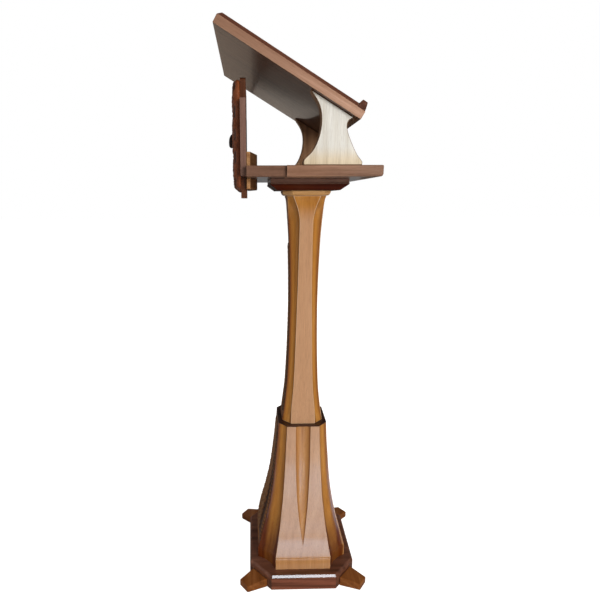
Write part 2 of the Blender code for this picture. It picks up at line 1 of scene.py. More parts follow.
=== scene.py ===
import json
import math

import bmesh
import bpy
import numpy as np
from mathutils import Matrix, Vector

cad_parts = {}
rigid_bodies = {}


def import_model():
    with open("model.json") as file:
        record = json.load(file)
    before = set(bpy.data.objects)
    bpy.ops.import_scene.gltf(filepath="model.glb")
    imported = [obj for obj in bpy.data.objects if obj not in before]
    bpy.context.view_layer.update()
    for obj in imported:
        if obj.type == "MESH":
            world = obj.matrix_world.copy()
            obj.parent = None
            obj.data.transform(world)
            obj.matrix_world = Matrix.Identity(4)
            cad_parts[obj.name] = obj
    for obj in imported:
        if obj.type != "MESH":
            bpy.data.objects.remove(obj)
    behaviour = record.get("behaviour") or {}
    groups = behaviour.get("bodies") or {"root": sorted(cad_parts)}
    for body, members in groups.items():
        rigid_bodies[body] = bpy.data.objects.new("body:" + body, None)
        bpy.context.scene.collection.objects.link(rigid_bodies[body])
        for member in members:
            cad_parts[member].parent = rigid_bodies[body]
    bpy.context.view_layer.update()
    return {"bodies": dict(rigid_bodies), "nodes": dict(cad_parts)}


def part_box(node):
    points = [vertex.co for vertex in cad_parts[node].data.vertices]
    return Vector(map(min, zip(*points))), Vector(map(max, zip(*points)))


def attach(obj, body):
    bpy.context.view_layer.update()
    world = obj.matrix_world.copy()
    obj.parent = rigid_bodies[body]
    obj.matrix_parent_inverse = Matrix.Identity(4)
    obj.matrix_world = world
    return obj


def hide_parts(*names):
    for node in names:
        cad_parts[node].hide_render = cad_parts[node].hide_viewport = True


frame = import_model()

BODY = next(iter(frame["bodies"]))
scene = bpy.context.scene
GAP = 0.0003


# ============================================================== node helpers
class Net:
    """Short names for the nodes that the wood materials use."""

    def __init__(self, name):
        self.mat = bpy.data.materials.new(name)
        self.mat.use_nodes = True
        self.nt = self.mat.node_tree
        self.bsdf = self.nt.nodes["Principled BSDF"]

    def new(self, kind, **settings):
        node = self.nt.nodes.new(kind)
        for key, value in settings.items():
            setattr(node, key, value)
        return node

    def put(self, socket, value):
        if isinstance(value, bpy.types.NodeSocket):
            self.nt.links.new(value, socket)
        elif value is not None:
            socket.default_value = value

    def math(self, op, a, b=None, c=None, clamp=False):
        n = self.new("ShaderNodeMath", operation=op, use_clamp=clamp)
        for i, v in enumerate((a, b, c)):
            self.put(n.inputs[i], v)
        return n.outputs[0]

    def vec(self, op, a, b=None):
        n = self.new("ShaderNodeVectorMath", operation=op)
        self.put(n.inputs[0], a)
        self.put(n.inputs[1], b)
        return n.outputs[0]

    def noise(self, vector, scale=1.0, detail=3.0, rough=0.5, distortion=0.0):
        n = self.new("ShaderNodeTexNoise")
        self.put(n.inputs["Vector"], vector)
        n.inputs["Scale"].default_value = scale
        n.inputs["Detail"].default_value = detail
        n.inputs["Roughness"].default_value = rough
        n.inputs["Distortion"].default_value = distortion
        return n.outputs["Fac"]

    def remap(self, value, a, b, c, d, smooth=False):
        n = self.new("ShaderNodeMapRange")
        n.interpolation_type = "SMOOTHSTEP" if smooth else "LINEAR"
        self.put(n.inputs["Value"], value)
        for key, v in (("From Min", a), ("From Max", b), ("To Min", c), ("To Max", d)):
            n.inputs[key].default_value = v
        return n.outputs["Result"]

    def ramp(self, fac, stops):
        n = self.new("ShaderNodeValToRGB")
        n.color_ramp.interpolation = "EASE"
        while len(n.color_ramp.elements) < len(stops):
            n.color_ramp.elements.new(0.5)
        for e, (pos, rgb) in zip(n.color_ramp.elements, stops):
            e.position = pos
            e.color = (*rgb, 1.0)
        self.put(n.inputs["Fac"], fac)
        return n.outputs["Color"]

    def mix(self, fac, a, b, blend="MIX"):
        n = self.new("ShaderNodeMix", data_type="RGBA", blend_type=blend)
        self.put(n.inputs["Factor"], fac)
        for socket, v in ((n.inputs[6], a), (n.inputs[7], b)):
            self.put(socket, v if isinstance(v, bpy.types.NodeSocket) else (*v, 1.0))
        return n.outputs[2]


def wood(
    name,
    tones,
    grain,
    seed=0.0,
    hollow=None,
    painted_shade=None,
    rough=(0.30, 0.44),
    coat=0.55,
    coat_rough=0.10,
    spec=0.38,
    pores=0.5,
    rings=1.0,
    figure=1.0,
    bump=0.35,
    shade=None,
):
    """Lacquered wood with its grain along an axis or a direction.

    tones: dark, middle and light colour of the grain.
    hollow: the same three, deeper and darker, for the hollows, mixed in where the mesh's "cove" value is 1: painted
    shade.
    The third set: the same three for the darkest places, mixed in by the mesh's painted-shade value: painted shade in
    the hollows, on flute walls, on the -Y side and in carving recesses.
    shade: ("X" | "Y" | "Z", from, to, colour): painted shade, a colour that darkens along an axis in place of the
    light's falloff."""
    k = Net(name)
    coord = k.new("ShaderNodeTexCoord").outputs["Object"]
    if isinstance(grain, str):
        split = k.new("ShaderNodeSeparateXYZ")
        k.put(split.inputs[0], coord)
        order = {"X": (0, 1, 2), "Y": (1, 2, 0), "Z": (2, 0, 1)}[grain]
        join = k.new("ShaderNodeCombineXYZ")
        for i, o in enumerate(order):
            k.put(join.inputs[i], split.outputs[o])
        along = join.outputs[0]
    else:
        d = Vector(grain).normalized()
        u = d.cross(Vector((1, 0, 0)) if abs(d.x) < 0.9 else Vector((0, 1, 0))).normalized()
        w = d.cross(u)
        join = k.new("ShaderNodeCombineXYZ")
        for i, axis in enumerate((d, u, w)):
            dot = k.new("ShaderNodeVectorMath", operation="DOT_PRODUCT")
            k.put(dot.inputs[0], coord)
            dot.inputs[1].default_value = axis
            k.put(join.inputs[i], dot.outputs["Value"])
        along = join.outputs[0]
    along = k.vec("ADD", along, (seed * 1.7, seed * 0.61, seed * 0.37))

    broad = k.noise(k.vec("MULTIPLY", along, (2.2, 26.0, 26.0)), 1.0, 3.0, 0.55, 0.5)
    warp = k.noise(k.vec("MULTIPLY", along, (3.0, 9.0, 9.0)), 1.0, 2.0, 0.5)
    wave = k.new("ShaderNodeTexWave", wave_type="BANDS", bands_direction="DIAGONAL", wave_profile="SIN")
    k.put(wave.inputs["Vector"], k.vec("MULTIPLY", along, (1.3, 30.0 * rings, 30.0 * rings)))
    wave.inputs["Scale"].default_value = 1.0
    wave.inputs["Distortion"].default_value = 7.0
    wave.inputs["Detail"].default_value = 3.0
    wave.inputs["Detail Scale"].default_value = 0.7
    wave.inputs["Detail Roughness"].default_value = 0.6
    fibre = k.noise(k.vec("MULTIPLY", along, (26.0, 620.0, 620.0)), 1.0, 3.0, 0.6)
    streak = k.noise(k.vec("MULTIPLY", along, (6.0, 170.0, 170.0)), 1.0, 2.0, 0.55)
    pore = k.remap(k.noise(k.vec("MULTIPLY", along, (75.0, 1500.0, 1500.0)), 1.0, 1.0, 0.5), 0.60, 0.72, 0.0, 1.0)

    fac = k.math("MULTIPLY_ADD", k.math("SUBTRACT", broad, 0.5), 0.85 * figure, 0.5)
    fac = k.math("MULTIPLY_ADD", k.math("SUBTRACT", wave.outputs["Fac"], 0.5), 0.22 * figure, fac)
    fac = k.math("MULTIPLY_ADD", k.math("SUBTRACT", streak, 0.5), 0.55 * figure, fac)
    fac = k.math("MULTIPLY_ADD", k.math("SUBTRACT", warp, 0.5), 0.35 * figure, fac, clamp=True)

    def coloured(t):
        return k.ramp(fac, ((0.15, t[0]), (0.5, t[1]), (0.85, t[2])))

    colour = coloured(tones)
    # painted shade: hollows (coves, flutes, the base band, the column top under the capital) take a darker, deeper gold
    if hollow is not None:
        cove = k.new("ShaderNodeAttribute", attribute_type="GEOMETRY", attribute_name="cove").outputs["Fac"]
        colour = k.mix(cove, colour, coloured(hollow))
    # painted shade: darkest tones mixed in by the mesh's shade value
    if painted_shade is not None:
        part_deep = k.new("ShaderNodeAttribute", attribute_type="GEOMETRY", attribute_name="painted_shade").outputs["Fac"]
        colour = k.mix(k.math("MULTIPLY", part_deep, 1.0, clamp=True), colour, coloured(painted_shade))
    # painted shade: the tone darkens along an axis, standing in for how the light falls off
    if shade is not None:
        axis, start, end, tint = shade
        part = k.new("ShaderNodeSeparateXYZ")
        k.put(part.inputs[0], coord)
        amount = k.remap(part.outputs["XYZ".index(axis)], start, end, 0.0, 1.0, smooth=True)
        colour = k.mix(amount, colour, k.mix(1.0, colour, tint, "MULTIPLY"))
    fine = k.ramp(fibre, ((0.25, (0.80, 0.78, 0.76)), (0.5, (0.97, 0.97, 0.97)), (0.8, (1.08, 1.07, 1.06))))
    colour = k.mix(1.0, colour, fine, "MULTIPLY")
    colour = k.mix(k.math("MULTIPLY", pore, pores), colour, k.mix(1.0, colour, (0.45, 0.38, 0.34), "MULTIPLY"))
    k.put(k.bsdf.inputs["Base Color"], colour)

    blot = k.noise(coord, 14.0, 4.0, 0.6)
    k.put(
        k.bsdf.inputs["Roughness"],
        k.math("MULTIPLY_ADD", k.math("ADD", k.math("MULTIPLY", fibre, 0.5), k.math("MULTIPLY", blot, 0.5)), rough[1] - rough[0], rough[0]),
    )
    k.bsdf.inputs["IOR"].default_value = 1.5
    k.bsdf.inputs["Specular IOR Level"].default_value = spec
    k.bsdf.inputs["Coat Weight"].default_value = coat
    k.bsdf.inputs["Coat Roughness"].default_value = coat_rough
    height = k.math("MULTIPLY_ADD", fibre, 0.5, k.math("MULTIPLY", streak, 0.5))
    height = k.math("MULTIPLY_ADD", pore, -0.6 * pores, height)
    b = k.new("ShaderNodeBump")
    b.inputs["Strength"].default_value = bump
    b.inputs["Distance"].default_value = 0.0004
    k.put(b.inputs["Height"], height)
    k.put(k.bsdf.inputs["Normal"], b.outputs["Normal"])
    return k.mat


def scaled(tones, f, tint=(1, 1, 1)):
    return tuple(tuple(min(c * f * t, 1.0) for c, t in zip(rgb, tint)) for rgb in tones)


# ================================================================ materials
WALNUT = ((0.075, 0.024, 0.012), (0.145, 0.050, 0.028), (0.215, 0.082, 0.048))
MAUVE = ((0.180, 0.092, 0.056), (0.275, 0.150, 0.098), (0.350, 0.205, 0.142))
HONEY = ((0.450, 0.236, 0.118), (0.540, 0.302, 0.166), (0.605, 0.358, 0.210))
# darker, deeper gold for the hollows: painted shade
HONEY_HOLLOW_SHADE = ((0.325, 0.116, 0.013), (0.500, 0.212, 0.038), (0.650, 0.322, 0.078))
# darkest gold: painted shade in hollows and recesses
GOLD_PAINTED_SHADE = ((0.066, 0.010, 0.001), (0.118, 0.022, 0.001), (0.178, 0.046, 0.003))
ASH = ((0.640, 0.605, 0.530), (0.765, 0.760, 0.720), (0.850, 0.860, 0.845))
RED = ((0.032, 0.0035, 0.0006), (0.062, 0.0070, 0.0010), (0.095, 0.0130, 0.0025))
CARVED = ((0.040, 0.0105, 0.0038), (0.080, 0.0245, 0.0092), (0.120, 0.041, 0.0170))
LACQUER = dict(coat=0.45, coat_rough=0.12)

M = {
    "plinth": wood("walnut_plinth", scaled(WALNUT, 1.65, (1.05, 0.98, 0.94)), "Y", 1.0, coat=0.7, coat_rough=0.09),
    # darker, greyer copy of the plinth walnut for the top, chamfer and cut corners: painted shade
    "plinth_top": wood("walnut_plinth_top_painted_shade", scaled(WALNUT, 1.12, (1.0, 1.10, 1.12)), "Y", 1.0, coat=0.7, coat_rough=0.09),
    "foot": wood("walnut_foot", ((0.140, 0.040, 0.005), (0.240, 0.076, 0.014), (0.330, 0.120, 0.032)), "X", 2.0, **LACQUER),
    "pedestal": wood("honey_pedestal", HONEY, "Z", 3.0, hollow=HONEY_HOLLOW_SHADE, painted_shade=GOLD_PAINTED_SHADE, pores=0.18, figure=0.75, coat=0.7, coat_rough=0.205, spec=0.22),
    # lighter tone on the rounded arrises: painted highlight
    "arris": wood("honey_arris_painted_highlight", ((0.560, 0.350, 0.195), (0.690, 0.465, 0.285), (0.780, 0.560, 0.370)), "Z", 3.3, painted_shade=GOLD_PAINTED_SHADE, pores=0.1, figure=0.5, coat=0.5, coat_rough=0.14),
    "column": wood("honey_column", HONEY, "Z", 4.0, hollow=HONEY_HOLLOW_SHADE, painted_shade=GOLD_PAINTED_SHADE, pores=0.18, figure=0.75, spec=0.26, **LACQUER),
    "neck": wood("honey_neck", ((0.470, 0.235, 0.080), (0.600, 0.325, 0.124), (0.690, 0.400, 0.172)), "Y", 5.0, pores=0.2, **LACQUER),
    "collar": wood("walnut_collar", scaled(WALNUT, 0.35), "Y", 6.0, **LACQUER),
    "capital": wood("red_capital", RED, "Y", 7.0, coat=0.25, coat_rough=0.14, spec=0.15),
    "capital_up": wood("walnut_capital", ((0.100, 0.048, 0.032), (0.160, 0.078, 0.054), (0.220, 0.112, 0.080)), "Y", 7.5, **LACQUER),
    # shelf: painted shade, darker towards +Y
    "shelf": wood("mauve_shelf", scaled(MAUVE, 1.42), "Y", 8.0, shade=("Y", -0.03, 0.13, (0.70, 0.72, 0.75)), **LACQUER),
    "tongue": wood("mauve_tongue", scaled(MAUVE, 0.70, (1.0, 0.94, 0.92)), "Y", 9.0, **LACQUER),
    # bookrest: painted shade, darker towards its high end
    "book": wood("mauve_bookrest", scaled(MAUVE, 1.58, (0.97, 1.0, 1.03)), (0, math.cos(math.radians(30.64)), -math.sin(math.radians(30.64))), 10.0, shade=("Y", 0.04, -0.15, (0.76, 0.73, 0.70)), **LACQUER),
    # much darker copy of the bookrest mauve for the underside: painted shade
    "book_under": wood("mauve_underside_painted_shade", scaled(MAUVE, 0.36, (1.0, 0.84, 0.78)), (0, math.cos(math.radians(30.64)), -math.sin(math.radians(30.64))), 10.2, bump=0.8, figure=1.2, spec=0.12, coat=0.35, coat_rough=0.09),
    "book_top": wood("walnut_arris", scaled(WALNUT, 0.9), (0, math.cos(math.radians(30.64)), -math.sin(math.radians(30.64))), 10.5, **LACQUER),
    "ledge": wood("walnut_ledge", scaled(WALNUT, 0.7), "X", 11.0, **LACQUER),
    # brackets: painted shade, darker and more golden towards the bottom
    "bracket": wood("ash_bracket", ASH, "Z", 12.0, pores=0.25, rough=(0.32, 0.46), shade=("Z", 1.032, 0.998, (0.97, 0.84, 0.66)), coat=0.3, coat_rough=0.16),
    "bracket_edge": wood("ash_bracket_edge", ((0.10, 0.05, 0.02), (0.17, 0.09, 0.04), (0.24, 0.13, 0.06)), "Z", 12.5, pores=0.3, **LACQUER),
    "board": wood("mauve_emblem_board", scaled(MAUVE, 0.82, (1.0, 1.0, 1.18)), "Z", 13.0, **LACQUER),
    "board_tab": wood("walnut_emblem_tab", scaled(WALNUT, 0.85, (1.0, 0.95, 0.7)), "Z", 13.5, **LACQUER),
    "block": wood("walnut_block", ((0.085, 0.032, 0.010), (0.150, 0.064, 0.022), (0.215, 0.100, 0.040)), "X", 14.0, coat=0.05, spec=0.1, rough=(0.5, 0.62)),
    "block_end": wood("beech_block_end", ((0.330, 0.140, 0.045), (0.520, 0.280, 0.120), (0.650, 0.390, 0.200)), "X", 14.5, **LACQUER),
    # darker brown for the brackets' inner and edge faces: painted shade
    "bracket_in": wood("bracket_inside_painted_shade", ((0.180, 0.088, 0.040), (0.300, 0.160, 0.082), (0.410, 0.240, 0.135)), "Z", 12.7, pores=0.3, coat=0.3, coat_rough=0.16),
    "carving": wood("walnut_carving", scaled(CARVED, 3.0, (1.0, 0.88, 0.74)), "Z", 15.0, painted_shade=scaled(CARVED, 0.45), coat=0.3, coat_rough=0.2, rough=(0.42, 0.58)),
    "carving_gold": wood("honey_carving", ((0.150, 0.060, 0.018), (0.250, 0.108, 0.036), (0.340, 0.165, 0.065)), "Z", 15.5, painted_shade=scaled(CARVED, 0.70), coat=0.3, coat_rough=0.2, rough=(0.42, 0.58)),
    "boss": wood("walnut_boss", scaled(CARVED, 0.35), "Z", 16.0, coat=0.3, coat_rough=0.2),
    "dowel": wood("beech_dowel", ((0.45, 0.28, 0.15), (0.58, 0.39, 0.23), (0.66, 0.47, 0.30)), "Z", 17.0, coat=0.0, rough=(0.55, 0.7)),
}


def steel():
    k = Net("zinc_steel")
    coord = k.new("ShaderNodeTexCoord").outputs["Object"]
    n = k.noise(coord, 900.0, 3.0, 0.6)
    k.put(k.bsdf.inputs["Base Color"], k.ramp(n, ((0.3, (0.42, 0.42, 0.41)), (0.7, (0.62, 0.62, 0.60)))))
    k.put(k.bsdf.inputs["Roughness"], k.remap(n, 0.2, 0.8, 0.24, 0.42))
    k.bsdf.inputs["Metallic"].default_value = 1.0
    return k.mat


M["steel"] = steel()


# ============================================================= mesh helpers
def finish(name, bm, mats, nodes, smooth=True):
    bmesh.ops.recalc_face_normals(bm, faces=bm.faces[:])
    mesh = bpy.data.meshes.new(name)
    bm.to_mesh(mesh)
    bm.free()
    obj = bpy.data.objects.new(name, mesh)
    scene.collection.objects.link(obj)
    for m in mats if isinstance(mats, (list, tuple)) else [mats]:
        mesh.materials.append(m)
    if smooth:
        mesh.polygons.foreach_set("use_smooth", [True] * len(mesh.polygons))
    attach(obj, BODY)
    if nodes:
        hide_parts(*nodes)
    return obj


def loft(rings, coves=None, caps=True, bm=None, painted_shades=None):
    bm = bm or bmesh.new()
    layer = bm.verts.layers.float.get("cove") or bm.verts.layers.float.new("cove")
    painted_shade = bm.verts.layers.float.get("painted_shade") or bm.verts.layers.float.new("painted_shade")
    rows = []
    for i, ring in enumerate(rings):
        row = []
        for j, p in enumerate(ring):
            v = bm.verts.new(p)
            v[layer] = coves[i][j] if coves else 0.0
            v[painted_shade] = painted_shades[i][j] if painted_shades else 0.0
            row.append(v)
        rows.append(row)
    count = len(rows[0])
    for low, high in zip(rows, rows[1:]):
        for i in range(count):
            j = (i + 1) % count
            bm.faces.new((low[i], low[j], high[j], high[i]))
    if caps:
        bm.faces.new(rows[0][::-1])
        bm.faces.new(rows[-1])
    return bm


def soften(obj, width, segments=2, angle=28, material=-1):
    mod = obj.modifiers.new("arris", "BEVEL")
    mod.width = width
    mod.segments = segments
    mod.limit_method = "ANGLE"
    mod.angle_limit = math.radians(angle)
    mod.harden_normals = True
    mod.use_clamp_overlap = True
    mod.material = material
    return mod


def weighted(obj, width, segments, pick, material=-1):
    layer = obj.data.attributes.new("bevel_weight_edge", "FLOAT", "EDGE")
    for edge in obj.data.edges:
        a, b = (obj.data.vertices[i].co for i in edge.vertices)
        layer.data[edge.index].value = pick((a + b) / 2, (b - a).normalized())
    mod = obj.modifiers.new("arris", "BEVEL")
    mod.width = width
    mod.segments = segments
    mod.limit_method = "WEIGHT"
    mod.harden_normals = True
    mod.material = material
    return mod


def block(lo, hi, cuts=(1, 1, 1)):
    bm = bmesh.new()
    bmesh.ops.create_cube(bm, size=1.0)
    for v in bm.verts:
        v.co = Vector([lo[i] if v.co[i] < 0 else hi[i] for i in range(3)])
    bm.verts.layers.float.new("cove")
    return bm


def curve(points, z, i):
    """Smooth, non-overshooting curve through column i of (z, ...) rows."""
    zs = [p[0] for p in points]
    vs = [p[i] for p in points]
    n = len(zs)
    if z <= zs[0]:
        return vs[0]
    if z >= zs[-1]:
        return vs[-1]
    k = max(j for j in range(n - 1) if zs[j] <= z)
    d = [(vs[j + 1] - vs[j]) / (zs[j + 1] - zs[j]) for j in range(n - 1)]

    def slope(j):
        if j == 0:
            return d[0]
        if j == n - 1:
            return d[-1]
        if d[j - 1] * d[j] <= 0:
            return 0.0
        a = 2 * (zs[j + 1] - zs[j]) + (zs[j] - zs[j - 1])
        b = (zs[j + 1] - zs[j]) + 2 * (zs[j] - zs[j - 1])
        return (a + b) / (a / d[j - 1] + b / d[j])

    h = zs[k + 1] - zs[k]
    t = (z - zs[k]) / h
    return (
        (2 * t ** 3 - 3 * t * t + 1) * vs[k]
        + (t ** 3 - 2 * t * t + t) * h * slope(k)
        + (-2 * t ** 3 + 3 * t * t) * vs[k + 1]
        + (t ** 3 - t * t) * h * slope(k + 1)
    )


def octagon(z, half, cutsize):
    f = half - cutsize
    return [
        Vector(p)
        for p in (
            (half, -f, z), (half, f, z), (f, half, z), (-f, half, z),
            (-half, f, z), (-half, -f, z), (-f, -half, z), (f, -half, z),
        )
    ]


def section(z, half, flat, sag, flute=(), steps=14, foot=0.0):
    """Square section with coved corners and, on the faces named, a flute.
    flute: (half width, depth, faces); foot: how much extra painted shade the hollows get here."""
    hw, depth, faces = flute or (flat * 0.3, 0.0, ())
    pts, cov, dee = [], [], []
    arcs = (-1.0, -0.93, -0.8, -0.6, -0.3, 0.0, 0.3, 0.6, 0.8, 0.93, 1.0)
    for q in range(4):
        c, s = ((1, 0), (0, 1), (-1, 0), (0, -1))[q]
        # painted shade on the -Y face (q == 3), the side away from the light, and on its corner points
        dark = 0.55 if q == 3 else 0.0
        row = [(half, -flat, 0.0, 1.0 if q == 3 else 0.0), (half, -(flat + hw) / 2, 0.0, dark)]
        for t in arcs:
            dip = depth * (1 - abs(t) ** 2.2) if q in faces else 0.0
            inside = q in faces and abs(t) < 0.99 and depth > 0.0005
            # flute walls: painted shadow, stronger on the +t wall than on the -t wall; inside the flute takes the
            # hollow tone
            wall = min(max((abs(t) - 0.76) / 0.15, 0.0), 1.0) * (0.85 if t > 0 else 0.40) + foot * 0.4 if inside else 0.0
            row.append((half - dip, hw * t, 0.72 if inside else 0.0, max(wall, dark)))
        row += [(half, (flat + hw) / 2, 0.0, dark), (half, flat, 0.0, 1.0 if q == 3 else 0.0)]
        for k in range(1, steps):
            t = k / steps
            dip = sag * 4 * t * (1 - t) * (half - flat)
            # painted shade along both edges of each cove, plus the foot amount
            rim = 1.0 - min(min(t, 1 - t) / 0.30, 1.0)
            row.append((half + (flat - half) * t - dip, flat + (half - flat) * t - dip, 1.0, min(0.95 * rim + foot, 1.0)))
        for x, y, v, d in row:
            pts.append(Vector((x * c - y * s, x * s + y * c, z)))
            cov.append(v)
            dee.append(d)
    return pts, cov, dee


def cut_section(z, half, flat):
    return [
        Vector(p)
        for p in (
            (half, -flat, z), (half, flat, z), (flat, half, z), (-flat, half, z),
            (-half, flat, z), (-half, -flat, z), (-flat, -half, z), (flat, -half, z),
        )
    ]


# ===================================================================== base
plo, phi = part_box("plinth")
PH, PT = phi.x, phi.z
PCUT, PCH = 0.052, 0.005
c45 = PCH * (2 - math.sqrt(2))
bm = loft((
    octagon(0.0, PH, PCUT),
    octagon(PT - PCH, PH, PCUT),
    octagon(PT, PH - PCH, PCUT - c45),
))
# top, chamfer ring and cut-corner faces take the darker copy: painted shade
for f in bm.faces:
    mid = f.calc_center_median()
    corner = min(abs(mid.x), abs(mid.y)) > 0.08
    if mid.z > PT - PCH or (corner and mid.z > 0.001):
        f.material_index = 1
obj = finish("plinth_block", bm, [M["plinth"], M["plinth_top"]], ["plinth"])
soften(obj, 0.0008, 3)

FOOT = ((0.1220, 0.0888), (0.1376, 0.1376), (0.1146, 0.1567), (0.0880, 0.1228))
for label, sx, sy in (
    ("foot_front_right", 1, -1), ("foot_rear_right", 1, 1),
    ("foot_front_left", -1, -1), ("foot_rear_left", -1, 1),
):
    lo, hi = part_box(label)
    rings = []
    for share in (0.0, 0.5, 1.0):
        row = []
        for x, y in FOOT:
            away = (x + y - 0.210) / math.sqrt(2)
            row.append(Vector((x * sx, y * sy, (0.0243 - 0.17 * away) * share)))
        rings.append(row)
    obj = finish(label + "_shaped", loft(rings), M["foot"], [label])
    soften(obj, 0.0022, 4, 40)

# ================================================================= pedestal
PED = (
    (0.0388, 0.1100, 0.0673), (0.0690, 0.1100, 0.0673), (0.0700, 0.1094, 0.0673), (0.0706, 0.1080, 0.0673),
    (0.0900, 0.1032, 0.0641), (0.1100, 0.0985, 0.0610), (0.1300, 0.0929, 0.0580), (0.1500, 0.0879, 0.0553),
    (0.1900, 0.0792, 0.0507), (0.2300, 0.0726, 0.0470), (0.2700, 0.0680, 0.0446), (0.3100, 0.0647, 0.0424),
    (0.3500, 0.0613, 0.0406), (0.3987, 0.0585, 0.0388),
)
FLUTE = (
    (0.1010, 0.0006), (0.1125, 0.0026), (0.1360, 0.0058), (0.1600, 0.0088), (0.1834, 0.0115),
    (0.2087, 0.0137), (0.2345, 0.0152), (0.2867, 0.0171), (0.3335, 0.0179), (0.4020, 0.0182),
)
levels = [0.0388, 0.050, 0.060, 0.0690, 0.0700, 0.0706]
levels += [0.0706 + (0.3987 - 0.0706) * i / 60 for i in range(1, 61)]
rings, coves, painted_shades = [], [], []
for z in levels:
    half, flat = (PED[[p[0] for p in PED].index(z)][1:] if z < 0.0707 and z in [p[0] for p in PED] else (curve(PED[3:], z, 1), curve(PED[3:], z, 2)) if z > 0.0706 else (0.1100, 0.0673))
    sag = 0.12 + 0.05 * min(max((z - 0.06) / 0.09, 0.0), 1.0)
    hw = curve(FLUTE, z, 1) if z > 0.101 else 0.0006
    # painted shade: the hollows darken towards the plinth
    foot = 0.80 * min(max((0.165 - z) / 0.090, 0.0), 1.0)
    p, v, d = section(z, half, flat, sag, (hw, 0.5 * hw if z > 0.101 else 0.0, (0, 1, 2)), foot=foot)
    # the base band takes the hollow tone: painted shade
    if z <= 0.0706:
        v = [max(a, 0.60) for a in v]
    rings.append(p)
    coves.append(v)
    painted_shades.append(d)
obj = finish("pedestal_fluted", loft(rings, coves, painted_shades=painted_shades), [M["pedestal"], M["arris"]], ["pedestal"])
# bevel faces take the lighter arris tone: painted highlight
soften(obj, 0.0013, 3, 41, material=1)

lo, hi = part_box("pedestal_collar")
bm = loft((
    cut_section(lo.z, 0.0588, 0.0384),
    cut_section(hi.z, 0.0588, 0.0384),
))
obj = finish("collar_plate", bm, M["collar"], ["pedestal_collar"])
soften(obj, 0.0009, 3)

# =================================================================== column
COL = (
    (0.4021, 0.0495, 0.0287), (0.4260, 0.0457, 0.0284), (0.4400, 0.0438, 0.0280), (0.4650, 0.0408, 0.0256),
    (0.4940, 0.0382, 0.0233), (0.5450, 0.0357, 0.0210), (0.5980, 0.0339, 0.0195), (0.6500, 0.0328, 0.0182),
    (0.6985, 0.0323, 0.0170), (0.7470, 0.0327, 0.0161), (0.8000, 0.0340, 0.0155), (0.8520, 0.0361, 0.0149),
    (0.8836, 0.0383, 0.0150), (0.9040, 0.0395, 0.0178), (0.9215, 0.0405, 0.0228), (0.9320, 0.0415, 0.0270),
    (0.9397, 0.0440, 0.0300),
)
rings, coves, painted_shades = [], [], []
n = 90
for i in range(n + 1):
    z = COL[0][0] + (COL[-1][0] - COL[0][0]) * i / n
    half, flat = curve(COL, z, 1), curve(COL, z, 2)
    sag = 0.26 * min(max((0.9397 - z) / 0.045, 0.0), 1.0) * min(max((z - 0.4030) / 0.030, 0.0), 1.0)
    p, v, d = section(z, half, flat, sag)
    # painted shade under the capital: near the top every face shifts to the hollow tone, and the darkest shade in the
    # hollows eases off
    fade = min(max((0.925 - z) / 0.03, 0.25), 1.0)
    rings.append(p)
    top = min(max((z - 0.885) / 0.035, 0.0), 1.0)
    coves.append([max(c * fade + (1 - fade) * 0.8, top) for c in v])
    painted_shades.append([max(a * (1 - 0.6 * top), 0.08 * top) for a in d])
obj = finish("column_coved", loft(rings, coves, painted_shades=painted_shades), [M["column"], M["arris"]], ["column"])
# bevel faces take the lighter arris tone: painted highlight
soften(obj, 0.0010, 3, 41, material=1)

# ================================================================== capital
rings = [
    cut_section(z, h, f)
    for z, h, f in (
        (0.9400, 0.0455, 0.0300), (0.9403, 0.0470, 0.0305), (0.9409, 0.0482, 0.0311), (0.9419, 0.0494, 0.0317),
        (0.9432, 0.0505, 0.0323), (0.9447, 0.0514, 0.0328), (0.9465, 0.0521, 0.0332), (0.9483, 0.0524, 0.0334),
        (0.9503, 0.0525, 0.0334),
    )
]
obj = finish("neck_ovolo", loft(rings), M["neck"], ["neck_moulding"])
soften(obj, 0.0006, 2, 35)


def square(z, half):
    return [Vector(p) for p in ((half, -half, z), (half, half, z), (-half, half, z), (-half, -half, z))]


lo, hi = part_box("capital_lower")
bm = loft((square(lo.z, 0.0665), square(lo.z + 0.0008, 0.0673), square(hi.z, 0.0821)))
obj = finish("capital_splay", bm, M["capital"], ["capital_lower"])
soften(obj, 0.0005, 2)
lo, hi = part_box("capital_upper")
h = hi.x
prof = ((0.0, h - 0.0019), (0.0002, h - 0.0010), (0.0008, h - 0.0003), (0.0016, h), (0.0024, h - 0.0003),
        (0.0030, h - 0.0011), (0.0034, h - 0.0012), (hi.z - lo.z, h - 0.0012))
obj = finish("capital_plate", loft([square(lo.z + a, b) for a, b in prof]), M["capital_up"], ["capital_upper"])
soften(obj, 0.0005, 2)

# ========================================================= shelf and tongue
slo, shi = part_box("shelf")
obj = finish("shelf_board", block(slo, shi), M["shelf"], ["shelf"])
weighted(
    obj, 0.0050, 5,
    lambda mid, way: 0.06 if mid.y < slo.y + 1e-4 else (1.0 if mid.z < slo.z + 1e-4 else 0.5),
)
tlo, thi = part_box("front_tongue")
obj = finish("tongue_board", block(tlo, thi), M["tongue"], ["front_tongue"])
weighted(
    obj, 0.0035, 4,
    lambda mid, way: 0.08 if (mid.y > thi.y - 1e-4 or mid.y < tlo.y + 1e-4) else (0.9 if mid.z < tlo.z + 1e-4 else 0.5),
)

# ============================================================ emblem pieces
for label in ("glue_block_upper", "glue_block_lower"):
    lo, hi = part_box(label)
    plan = (
        (-0.100, lo.y), (0.100, lo.y), (0.100, -0.1225), (0.035, hi.y), (-0.035, hi.y), (-0.100, -0.1225),
    )
    bm = loft([[Vector((x, y, z)) for x, y in plan] for z in (lo.z, hi.z)])
    for f in bm.faces:
        f.material_index = 1 if abs(f.calc_center_median().x) > 0.0995 else 0
    obj = finish(label + "_shaped", bm, [M["block"], M["block_end"]], [label])
    soften(obj, 0.0008, 2)

